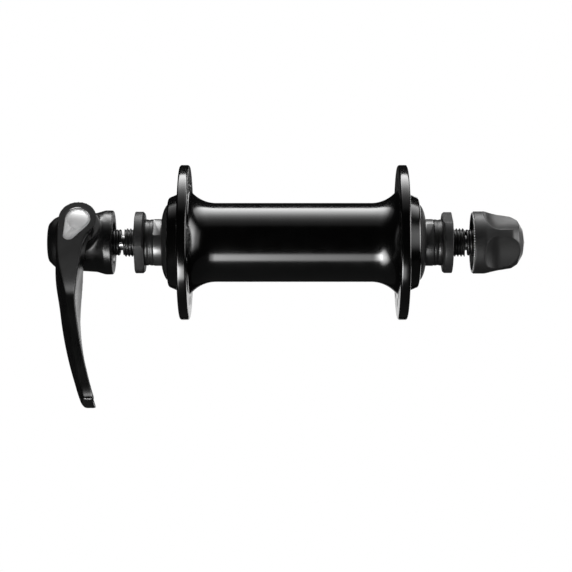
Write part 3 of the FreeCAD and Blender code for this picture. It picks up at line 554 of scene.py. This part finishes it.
def screw_thread(name, root, crest, pitch, start, end, steps=48):
    """A threaded bar along the axle: one pitch of thread, wound by the Screw modifier."""
    turns = math.ceil((end - start) / pitch) + 2
    shape = [(0, start - pitch, root), (0, start - 0.9 * pitch, root), (0, start - 0.56 * pitch, crest),
             (0, start - 0.44 * pitch, crest), (0, start - 0.1 * pitch, root), (0, start, root)]
    bar = draw(name, shape, closed=False)
    leave()
    modify(bar, "SCREW", axis="Y", angle=2 * math.pi, screw_offset=pitch * MM, iterations=turns,
           steps=steps, render_steps=steps, use_merge_vertices=True, merge_threshold=0.001 * MM)
    for place, way in ((start, (0, -1, 0)), (end, (0, 1, 0))):
        edit(bar)
        bpy.ops.mesh.remove_doubles(threshold=0.001 * MM)
        bpy.ops.mesh.select_all(action="SELECT")
        bpy.ops.mesh.bisect(plane_co=(0, place * MM, 0), plane_no=way, use_fill=True, clear_outer=True)
        bpy.ops.mesh.select_all(action="SELECT")
        bpy.ops.mesh.normals_make_consistent(inside=False)
        leave()
    return bar


def axle():
    bar = screw_thread("axle_surface", THREAD_ROOT, AXLE_RADIUS, THREAD_PITCH, -AXLE_OUT, AXLE_OUT)
    bore = 2.75
    envelope = lathe("envelope", mirrored([
        (bore, AXLE_OUT - 0.4), (bore + 0.4, AXLE_OUT), (AXLE_RADIUS - 0.7, AXLE_OUT),
        (AXLE_RADIUS + 0.01, AXLE_OUT - 0.8),
    ]), 48)
    carve(bar, envelope, "INTERSECT")
    return hand_over(bar, "axle", sharp=40)


def wrench_flats(piece, half_width, start, end, reach=20.0):
    for side in (-1, 1):
        near, far = sorted((half_width * side, reach * side))
        carve(piece, block("flat", (near, start, -reach), (far, end, reach)))
    return piece


def cone(side):
    body = lathe("cone", rounded([
        (4.52, 33.7), (4.52, CONE_OUT - 0.5), (5.1, CONE_OUT), (7.4, CONE_OUT, 0.35),
        (7.4, 40.3), (6.6, 40.3), (6.6, 39.2), (7.4, 39.2), (7.4, 38.6), (6.9, 36.8),
        (6.0, 35.2), (5.4, 33.7),
    ]), 128)
    wrench_flats(body, 6.5, CONE_OUT - 2.4, CONE_OUT + 1)
    return dress_axle_piece(soften(body, 0.12), "cone", side)


def dress_axle_piece(piece, kind, side, turn=0.0):
    """Put a piece made for the left side on its side, with its turn, and finish it."""
    if side == "right":
        other_side(piece)
    spin_round(piece, TURNS.get(f"{side}_{kind}", turn))
    return hand_over(piece, f"{side}_{kind}")


def spacer(side):
    inner, outer = CONE_OUT, CONE_OUT + SPACER_WIDTH
    body = lathe("spacer", rounded([
        (4.52, inner), (4.52, outer), (7.3, outer, 0.2), (7.3, inner + 1.9, 0.5),
        (7.12, inner + 1.35, 0.6), (7.3, inner + 0.8, 0.5), (7.3, inner, 0.2),
    ], 4), 128)
    return dress_axle_piece(body, "spacer", side)


def locknut(side):
    inner, outer = LOCKNUT_OUT - LOCKNUT_WIDTH, LOCKNUT_OUT
    body = lathe("locknut", rounded([
        (4.52, inner), (4.52, outer - 0.4), (5.0, outer), (9.75, outer, 0.3),
        (9.75, inner + 0.6, 0.2), (9.15, inner, 0.2),
    ], 4), 160)
    wrench_flats(body, 8.5, inner - 1, outer + 1)
    return dress_axle_piece(soften(body, 0.14), "locknut", side)


def cone_seal(side):
    body = lathe("cone_seal", rounded([
        (6.62, 39.22), (8.2, 39.45, 0.15), (8.2, 40.05, 0.15), (6.62, 40.28),
    ], 4), 128)
    return dress_axle_piece(body, "cone_seal", side)


def dust_cap(side):
    sheet, skirt = 0.7, 38.9
    crown = [(12.2, 39.6), (11.9, 40.0), (11.3, 40.45), (10.5, 40.85), (9.5, 41.2), (8.6, 41.42), (7.65, 41.5)]
    inner = [(7.65, 41.5 - sheet), (9.4, 40.5), (10.6, 40.0), (11.5, 39.25), (11.5, skirt)]
    body = lathe("dust_cap", crown + inner + [(12.2, skirt)], 160)
    return dress_axle_piece(body, "dust_cap", side)


# Springs of the skewer

def spring(side):
    wire, close_turns, open_turns, close_pitch = 0.45, 3.0, 2.6, 0.93
    first = AXLE_OUT + 0.15 + wire
    last = (HEAD_FACE if side == "left" else NUT_FACE) + RECESS_DEPTH - 0.06 - wire
    small, large = 3.7, 6.1
    spread = first + close_turns * close_pitch
    count = 132
    curve = bpy.data.curves.new("coil", "CURVE")
    curve.dimensions = "3D"
    curve.bevel_depth = wire * MM
    curve.bevel_resolution = 5
    curve.use_fill_caps = True
    line = curve.splines.new("POLY")
    line.points.add(count)
    for index, point in enumerate(line.points):
        turn = (close_turns + open_turns) * index / count
        angle = 2 * math.pi * turn
        share = max(0.0, turn - close_turns) / open_turns
        along = min(turn, close_turns) * close_pitch + first + (last - spread) * share
        radius = small + (large - small) * share
        spot = Vector((-radius * math.cos(angle), along, radius * math.sin(angle)))
        point.co = (*(spot * MM), 1)
    piece = bpy.data.objects.new("coil", curve)
    bpy.context.scene.collection.objects.link(piece)
    activate(piece)
    bpy.ops.object.convert(target="MESH")
    piece = bpy.context.object
    if side == "right":
        other_side(piece)
    return hand_over(piece, f"{side}_spring", sharp=60)


# Quick release head, made with the lever straight down and its pivot towards -X, then turned

def tilted(piece):
    piece.data.transform(Matrix.Rotation(TILT, 4, "Y"))
    return piece


PAD_RADIUS = 6.8
PAD_FACE = 10.4
NECK_RADIUS = 9.2


def fill_saddle(head):
    """Round out the inner corner where the lever's pad stands on the neck."""
    near = []
    for corner in head.data.vertices:
        x, y, z = corner.co / MM
        from_pad = math.hypot(y - PIVOT_OUT, z) - PAD_RADIUS
        from_neck = math.hypot(x, z) - NECK_RADIUS
        if 0.45 - PAD_FACE < x < 0 and max(abs(from_pad), abs(from_neck)) < 2.3:
            near.append(corner.index)
    group = head.vertex_groups.new(name="saddle")
    group.add(near, 1.0, "REPLACE")
    modify(head, "SMOOTH", factor=0.5, iterations=90, vertex_group="saddle")


def lever_housing():
    head = lathe("head", rounded([
        (0.0, HEAD_FACE), (10.15, HEAD_FACE, 0.5), (10.15, HEAD_FACE + 2.6, 1.0), (9.35, HEAD_FACE + 5.3, 2.5),
        (8.6, HEAD_FACE + 16.8, 2.6), (7.6, HEAD_FACE + 18.8, 1.6), (5.9, HEAD_FACE + 20.5, 1.6),
        (0.0, HEAD_FACE + 21.2),
    ], 8), 128, closed=False)
    pad = lathe("pad", [
        (0.0, -4.0), (0.0, -PAD_FACE), (PAD_RADIUS - 0.2, -PAD_FACE), (PAD_RADIUS, 0.2 - PAD_FACE), (PAD_RADIUS, -4.0),
    ], 96, closed=False, centre=(0, PIVOT_OUT, 0), axis=(1, 0, 0))
    edit(pad)
    bpy.ops.mesh.select_all(action="DESELECT")
    bpy.ops.mesh.select_non_manifold()
    bpy.ops.mesh.edge_face_add()
    bpy.ops.mesh.select_all(action="SELECT")
    bpy.ops.mesh.normals_make_consistent(inside=False)
    leave()
    head = melt(join([head, pad]), 0.24, 5)
    fill_saddle(head)
    carve(head, lathe("recess", rounded([
        (0.0, HEAD_FACE - 1), (RECESS_RADIUS + 0.4, HEAD_FACE - 1), (RECESS_RADIUS, HEAD_FACE + 0.3),
        (RECESS_RADIUS, HEAD_FACE + RECESS_DEPTH), (0.0, HEAD_FACE + RECESS_DEPTH),
    ]), 96, closed=False))
    carve(head, block("eye_slot", (-3.3, HEAD_FACE + 3, -5.9), (3.3, PIVOT_OUT + 1 + 5.9, 5.9)))
    carve(head, rod("cam_bore", 4.25, -12, 3.3, (PIVOT_OUT, 0), "X"))
    carve(head, rod("tail_bore", 2.55, 0, 20, (PIVOT_OUT, 0), "X"))
    carve(head, rod("clip_seat", 4.2, 7.9, 20, (PIVOT_OUT, 0), "X"))
    return hand_over(tilted(head), "lever_housing", sharp=35)


def lever_washer():
    body = lathe("washer", rounded([
        (4.3, -10.4), (4.3, -10.9), (6.4, -10.9, 0.12), (6.4, -10.4, 0.12),
    ], 3), 96, centre=(0, PIVOT_OUT, 0), axis=(1, 0, 0))
    return hand_over(tilted(body), "lever_washer")


def cam_clip():
    body = lathe("clip", rounded([
        (2.52, 7.95), (2.52, 8.55), (3.8, 8.55, 0.15), (3.8, 7.95, 0.15),
    ], 3), 64, centre=(0, PIVOT_OUT, 0), axis=(1, 0, 0))
    return hand_over(tilted(body), "cam_clip")


CROWN, LOBE = (0.0, 3.95), (5.6, 1.95)
LOBE_SIDE = 2.4


def teardrop(name, spare, front, back, steps=32):
    """The keyed plate that the cam and the lever's eye share: two circles and their belt."""
    first, last = Vector((PIVOT_OUT, 0.0)), Vector((PIVOT_OUT + LOBE_SIDE, -LOBE[0]))
    radii = (CROWN[1] + spare, LOBE[1] + spare)
    way = last - first
    lean = math.atan2(way.y, way.x)
    spread = math.acos((radii[0] - radii[1]) / way.length)
    points = []
    for centre, radius, start, turn in (
        (first, radii[0], lean + spread, 2 * math.pi - 2 * spread),
        (last, radii[1], lean - spread, 2 * spread),
    ):
        for step in range(steps + 1):
            angle = start + turn * step / steps
            points.append((front, centre.x + radius * math.cos(angle), centre.y + radius * math.sin(angle)))
    plate = draw(name, points, closed=True)
    bpy.ops.mesh.select_all(action="SELECT")
    bpy.ops.mesh.remove_doubles(threshold=0.002 * MM)
    bpy.ops.mesh.select_all(action="SELECT")
    bpy.ops.mesh.edge_face_add()
    bpy.ops.mesh.extrude_region_move(TRANSFORM_OT_translate={"value": ((back - front) * MM, 0, 0)})
    bpy.ops.mesh.select_all(action="SELECT")
    bpy.ops.mesh.normals_make_consistent(inside=False)
    leave()
    return plate


def cam_shaft():
    face, rise, half = -14.5, 0.8, 3.4
    bend = (half ** 2 + rise ** 2) / (2 * rise)
    edge = math.degrees(math.asin(half / bend))
    dome = [(bend * math.sin(math.radians(a)), face - rise + bend * (1 - math.cos(math.radians(a))))
            for a in [edge * step / 16 for step in range(17)]]
    shaft = lathe("shaft", dome + [
        (3.55, face + 0.05), (3.55, face + 1.5), (4.2, -10.95), (4.2, -3.3), (3.0, -3.3), (2.5, 3.3), (2.5, 8.6),
        (2.3, 8.85), (0.0, 8.85),
    ], 96, closed=False, centre=(0, PIVOT_OUT, 0), axis=(1, 0, 0))
    carve(shaft, soften(teardrop("plate", 0.0, face, -10.95), 0.22, 40, 3), "UNION")
    carve(shaft, rod("cam", 3.0, -3.3, 3.3, (PIVOT_OUT + 1.0, 0), "X", 64), "UNION")
    return hand_over(tilted(shaft), "cam_shaft")


# The blade's sections: distance below the pivot, inner edge and width along the axle, bulge of
# the outer face, hollow of the inner face, then how far in front of the axle its edges lie
BLADE = [
    (0.9, 61.1, 12.2, 0.0, 0.0, 15.0, 10.95),
    (4.0, 62.4, 11.0, 0.0, 0.0, 15.0, 10.95),
    (7.2, 64.4, 8.9, 0.0, 0.0, 15.0, 10.9),
    (10.8, 65.1, 8.0, 0.2, 0.1, 15.0, 7.7),
    (14.0, 65.4, 7.3, 0.9, 0.6, 15.0, 2.6),
    (18.6, 65.9, 5.8, 1.9, 1.4, 15.1, -1.0),
    (23.4, 66.15, 4.2, 2.35, 1.75, 15.4, -2.2),
    (26.8, 66.1, 3.4, 2.5, 1.95, 16.3, -2.5),
    (28.4, 66.0, 3.2, 2.5, 2.0, 16.2, -2.5),
    (33.0, 65.5, 3.0, 2.5, 2.0, 14.8, -2.5),
    (38.4, 64.6, 2.9, 2.4, 2.0, 13.6, -2.5),
    (44.0, 63.4, 3.0, 2.1, 1.8, 12.2, -2.4),
    (49.2, 62.0, 3.1, 1.8, 1.4, 10.4, -1.7),
    (52.0, 61.25, 3.2, 1.5, 1.2, 9.4, -0.85),
    (54.6, 60.5, 3.35, 1.3, 0.95, 8.7, 0.15),
    (57.4, 59.65, 3.55, 0.9, 0.6, 8.9, 1.3),
    (59.6, 58.9, 3.8, 0.6, 0.4, 10.2, 2.4),
]
EDGE = 0.45


def section(below, inner, width, bulge, hollow, front, back):
    """The corners of one section of the blade, from its inner front edge round to the back."""
    outer, middle = inner + width, (front + back) / 2
    quarter, rest = (front * 3 + back) / 4, (front + back * 3) / 4
    return [Vector((-w, u, -below)) for w, u in (
        (front - EDGE, inner), (front, inner + EDGE), (front, outer - EDGE), (front - EDGE, outer),
        (quarter, outer + bulge * 0.75), (middle, outer + bulge), (rest, outer + bulge * 0.75),
        (back + EDGE, outer), (back, outer - EDGE), (back, inner + EDGE), (back + EDGE, inner),
        (rest, inner + hollow * 0.75), (middle, inner + hollow), (quarter, inner + hollow * 0.75),
    )]


def blade():
    """Draw the first section, then extrude it and shape it at each of the others."""
    rows = [section(*row) for row in BLADE]
    piece = draw("blade", rows[0], closed=True)
    bpy.ops.mesh.select_all(action="SELECT")
    bpy.ops.mesh.edge_face_add()
    for before, after in zip(rows, rows[1:]):
        drop = (after[0] - before[0]) * MM
        bpy.ops.mesh.extrude_region_move(TRANSFORM_OT_translate={"value": drop})
        mesh = bmesh.from_edit_mesh(piece.data)
        corners = [corner for corner in mesh.verts if corner.select]
        spots = [before[index] * MM + drop for index in range(len(before))]
        order = [min(range(len(spots)), key=lambda i: (spots[i] - corner.co).length) for corner in corners]
        for corner, index in zip(corners, order):
            corner.co = after[index] * MM
        bmesh.update_edit_mesh(piece.data)
    bpy.ops.mesh.select_all(action="SELECT")
    bpy.ops.mesh.normals_make_consistent(inside=False)
    leave()
    crease_edges(piece)
    return modify(piece, "SUBSURF", levels=3, render_levels=3)


def crease_edges(piece):
    """Hold the blade's four chamfers, so that smoothing leaves them narrow."""
    crease = piece.data.attributes.new("crease_edge", "FLOAT", "EDGE")
    corners = len(section(*BLADE[0]))
    held = {0, 1, 2, 3, 7, 8, 9, 10}
    for edge in piece.data.edges:
        first, last = edge.vertices
        lengthwise = abs(first - last) >= corners
        if lengthwise and first % corners in held:
            crease.data[edge.index].value = 0.55


def lever():
    eye = lathe("eye", rounded([
        (0.0, -10.95), (0.0, -LEVER_FACE), (6.7, -LEVER_FACE, 0.7), (6.7, -10.95, 0.2),
    ], 4), 128, closed=False, centre=(0, PIVOT_OUT, 0), axis=(1, 0, 0))
    piece = melt(join([blade(), eye]), 0.2, 4)
    carve(piece, soften(teardrop("keyhole", 0.06, -LEVER_FACE - 1, -10), 0.01))
    return hand_over(tilted(piece), "lever", sharp=40)


# Adjusting nut, made for the left side and turned end for end

RING_RADIUS = 9.1
RING_STAND = 0.3
TOOTH_RADIUS = 9.6
RING_OUT = NUT_FACE + 1.0
HUB_RADIUS = 7.3
HUB_OUT = NUT_FACE + RECESS_DEPTH + 0.9
THREADED_OUT = NUT_FACE + 9.5


def nut_insert():
    body = lathe("insert", [
        (RECESS_RADIUS, NUT_FACE), (TOOTH_RADIUS - 0.15, NUT_FACE), (TOOTH_RADIUS, NUT_FACE + 0.15),
        (TOOTH_RADIUS, NUT_FACE + RING_STAND - 0.02), (RING_RADIUS, NUT_FACE + RING_STAND - 0.02), (RING_RADIUS, RING_OUT),
        (HUB_RADIUS, RING_OUT), (HUB_RADIUS, HUB_OUT), (4.8, HUB_OUT), (4.8, THREADED_OUT), (2.5, THREADED_OUT),
        (2.5, NUT_FACE + RECESS_DEPTH), (RECESS_RADIUS, NUT_FACE + RECESS_DEPTH),
    ], TEETH * 2)
    serrate(body, TEETH, 0.12)
    spin_round(other_side(body), NUT_TURN)
    return hand_over(body, "nut_insert", sharp=20)


def serrate(piece, teeth, depth):
    """Raise every other radial line of the clamping face, which makes teeth that grip."""
    edit(piece)
    bpy.ops.mesh.select_all(action="DESELECT")
    mesh = bmesh.from_edit_mesh(piece.data)
    for corner in mesh.verts:
        if corner.co.y < (NUT_FACE + 0.2) * MM:
            turn = math.atan2(corner.co.z, corner.co.x) / (2 * math.pi) * teeth * 2
            corner.select_set(round(turn) % 2 == 0)
    mesh.select_flush_mode()
    bmesh.update_edit_mesh(piece.data)
    bpy.ops.transform.translate(value=(0, depth * MM, 0))
    leave()


def nut_cap():
    tip, mouth, spare = NUT_FACE + 16.7, NUT_FACE + RING_STAND, 0.02
    cap = lathe("cap", rounded([
        (RING_RADIUS + spare, mouth), (RING_RADIUS + spare, RING_OUT), (HUB_RADIUS + spare, RING_OUT),
        (HUB_RADIUS + spare, HUB_OUT), (4.82, HUB_OUT), (4.82, THREADED_OUT),
        (3.1, THREADED_OUT), (3.1, tip - 2.4), (0.0, tip - 2.4), (0.0, tip), (4.2, tip - 0.75, 1.0),
        (7.0, tip - 2.4, 1.2), (8.3, tip - 4.4, 2.2), (9.85, NUT_FACE + 3.9, 1.2), (9.85, mouth, 0.3),
    ], 7), 160)
    start, floor, big = NUT_FACE + 3.1, 6.3, 19.0
    for index in range(4):
        angle = math.radians(90 * index)
        away = floor + big
        centre = Vector((away * math.cos(angle), 0, away * math.sin(angle)))
        cutter = lathe("scallop", rounded([
            (0.0, start), (big, start, 5.5), (big, tip + 1), (0.0, tip + 1),
        ], 16), 160, closed=False)
        cutter.data.transform(Matrix.Translation(centre * MM))
        carve(cap, cutter)
    melt(cap, 0.17, 2)
    spin_round(other_side(cap), NUT_TURN)
    return hand_over(cap, "nut_cap", sharp=45)


# What stays from the frame gets its finish too

def dress_kept_nodes(made):
    for name, node in frame["nodes"].items():
        if name in made:
            continue
        activate(node)
        for place in node.material_slots:
            place.material = FINISHES[FINISH_OF[name]]


# Studio: a soft box overhead, a small one low in front, and a pale floor well below

def lamp(name, place, aim, width, length, radiance, stops=None, along=None, side=(0, 1, 0)):
    """A soft box whose brightness can change across its width, or along its length."""
    light = bpy.data.lights.new(name, "AREA")
    light.shape = "RECTANGLE"
    light.size, light.size_y = width, length
    light.energy = radiance * math.pi * width * length
    if stops:
        finish = Finish(light)
        across, down, depth = finish.split(finish.node("ShaderNodeNewGeometry", output="Parametric"))
        level = finish.ramp(across, stops)
        if along:
            level = level * finish.ramp(down, along)
        finish.node("ShaderNodeOutputLight", None, (finish.node("ShaderNodeEmission", None, {"Strength": level}),))
    piece = bpy.data.objects.new(name, light)
    bpy.context.scene.collection.objects.link(piece)
    piece.location = place
    way = (Vector(aim) - Vector(place)).normalized()
    side = Vector(side)
    side = (side - way * side.dot(way)).normalized()
    piece.rotation_euler = Matrix((side.cross(-way), side, -way)).transposed().to_euler()
    piece.visible_camera = False
    return piece


def direction(azimuth, elevation):
    """The way from the hub to a lamp: azimuth in degrees from the camera's side towards the nut."""
    turn, lift = math.radians(azimuth), math.radians(elevation)
    return Vector((-math.cos(lift) * math.cos(turn), -math.cos(lift) * math.sin(turn), math.sin(lift)))


def studio():
    lamp("soft_box", (-0.09, 0.0, 0.5), (-0.09, 0, 0), 0.72, 1.1, 6.9,
         stops=((0.0, 0.005), (0.256, 0.03), (0.358, 0.057), (0.451, 0.117), (0.552, 0.23), (0.649, 0.48),
                (0.76, 0.74), (0.878, 1.0), (1.0, 1.0)),
         along=((0.0, 0.2), (0.14, 0.4), (0.34, 1.0), (0.66, 1.0), (0.86, 0.09), (1.0, 0.02)))
    low = math.radians(-44)
    lamp("low_box", (-0.36 * math.cos(low), 0.03, 0.36 * math.sin(low)), (0, 0.03, 0), 0.14, 0.3, 10.2,
         stops=((0.0, 0.4), (0.2, 1.0), (0.8, 1.0), (1.0, 0.4)),
         along=((0.0, 0.0), (0.16, 0.0), (0.2, 0.08), (0.24, 0.17), (0.31, 0.2), (0.41, 0.26), (0.53, 0.53),
                (0.6, 0.55), (1.0, 0.9)))
    lamp("left_box", direction(-40, -40) * 0.36, (0, 0, 0), 0.22, 0.25, 8.5, side=(1, 0, 0),
         stops=((0.0, 0.2), (0.35, 1.0), (0.65, 1.0), (1.0, 0.2)),
         along=((0.0, 0.6), (0.2, 1.0), (0.55, 1.0), (1.0, 0.1)))
    lamp("side_box", direction(76, 9) * 0.5, (0, 0, 0), 0.42, 0.5, 5.8, side=(1, 0, 0),
         stops=((0.0, 0.05), (0.35, 1.0), (0.65, 1.0), (1.0, 0.05)),
         along=((0.0, 0.1), (0.3, 0.26), (0.55, 1.0), (1.0, 1.0)))
    lamp("rear_box", direction(150, 2) * 0.5, (0, 0.065, -0.03), 0.3, 0.3, 1.8, side=(1, 0, 0))


def world():
    world = bpy.data.worlds.new("studio")
    bpy.context.scene.world = world
    finish = Finish(world)
    path = finish.node("ShaderNodeLightPath").socket.node
    camera, glossy, through = (
        Socket(finish, path.outputs[name])
        for name in ("Is Camera Ray", "Is Glossy Ray", "Is Transmission Ray"))
    ahead, aside, above = finish.split(finish.node("ShaderNodeTexCoord", output="Generated"))
    backdrop = finish.ramp(ahead, ((0.95, 0.0), (0.985, 1.0))) * finish.ramp(above * -10, ((0.2, 0.03), (0.3, 1.0)))
    behind = finish.ramp(ahead, ((0.0, 0.3), (0.9, 1.0)))
    mirror = glossy + through
    room = mirror * behind * 0.006 + (1 - mirror) * 0.1
    level = camera + (1 - camera) * (room + mirror * backdrop)
    light = finish.node("ShaderNodeBackground", None, {"Color": (1, 1, 1, 1), "Strength": level})
    finish.node("ShaderNodeOutputWorld", None, (light,))


def floor():
    bpy.ops.mesh.primitive_circle_add(vertices=96, radius=4.0, fill_type="NGON", location=(0, 0, -2.6))
    piece = bpy.context.object
    piece.name = "pale_floor"
    material = bpy.data.materials.new("pale_floor")
    finish = Finish(material)
    point = finish.node("ShaderNodeTexCoord", output="Object")
    cloud = finish.ramp(finish.noise(point, 3.0, 2.0), ((0.3, 0.24), (0.7, 0.28)))
    matt = finish.node("ShaderNodeBsdfDiffuse", None, {"Color": cloud})
    glow = finish.node("ShaderNodeEmission", None, {"Color": (1, 1, 1, 1), "Strength": 1.0})
    path = finish.node("ShaderNodeLightPath", output="Is Camera Ray")
    finish.node("ShaderNodeOutputMaterial", None, (
        finish.node("ShaderNodeMixShader", None, (path * 0.75, matt, glow)),))
    piece.data.materials.append(material)


# Camera: level with the axle, 620 mm in front of the hub's middle
CAMERA_AWAY = 0.62
SCALE_AT_AXLE = 3.16
HUB_PIXEL = (293.6, 242.5)
PICTURE = 572
SENSOR = 36.0


def camera():
    lens = bpy.data.cameras.new("camera")
    lens.sensor_width = SENSOR
    lens.lens = SCALE_AT_AXLE * CAMERA_AWAY / MM * SENSOR / PICTURE
    lens.shift_x = (PICTURE / 2 - HUB_PIXEL[0]) / PICTURE
    lens.shift_y = (HUB_PIXEL[1] - PICTURE / 2) / PICTURE
    lens.clip_start = 0.01
    piece = bpy.data.objects.new("camera", lens)
    bpy.context.scene.collection.objects.link(piece)
    piece.location = (-CAMERA_AWAY, 0, 0)
    piece.rotation_euler = (math.pi / 2, 0, -math.pi / 2)
    bpy.context.scene.camera = piece


hub_shell()
axle()
for side in ("left", "right"):
    cone(side)
    spacer(side)
    locknut(side)
    cone_seal(side)
    dust_cap(side)
    spring(side)
lever_housing()
lever_washer()
cam_clip()
cam_shaft()
lever()
nut_insert()
nut_cap()
replaced = {node for piece in bpy.data.objects for node in piece.get("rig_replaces", [])}
dress_kept_nodes(replaced)
studio()
world()
floor()
camera()
bpy.context.scene.view_settings.view_transform = "Standard"
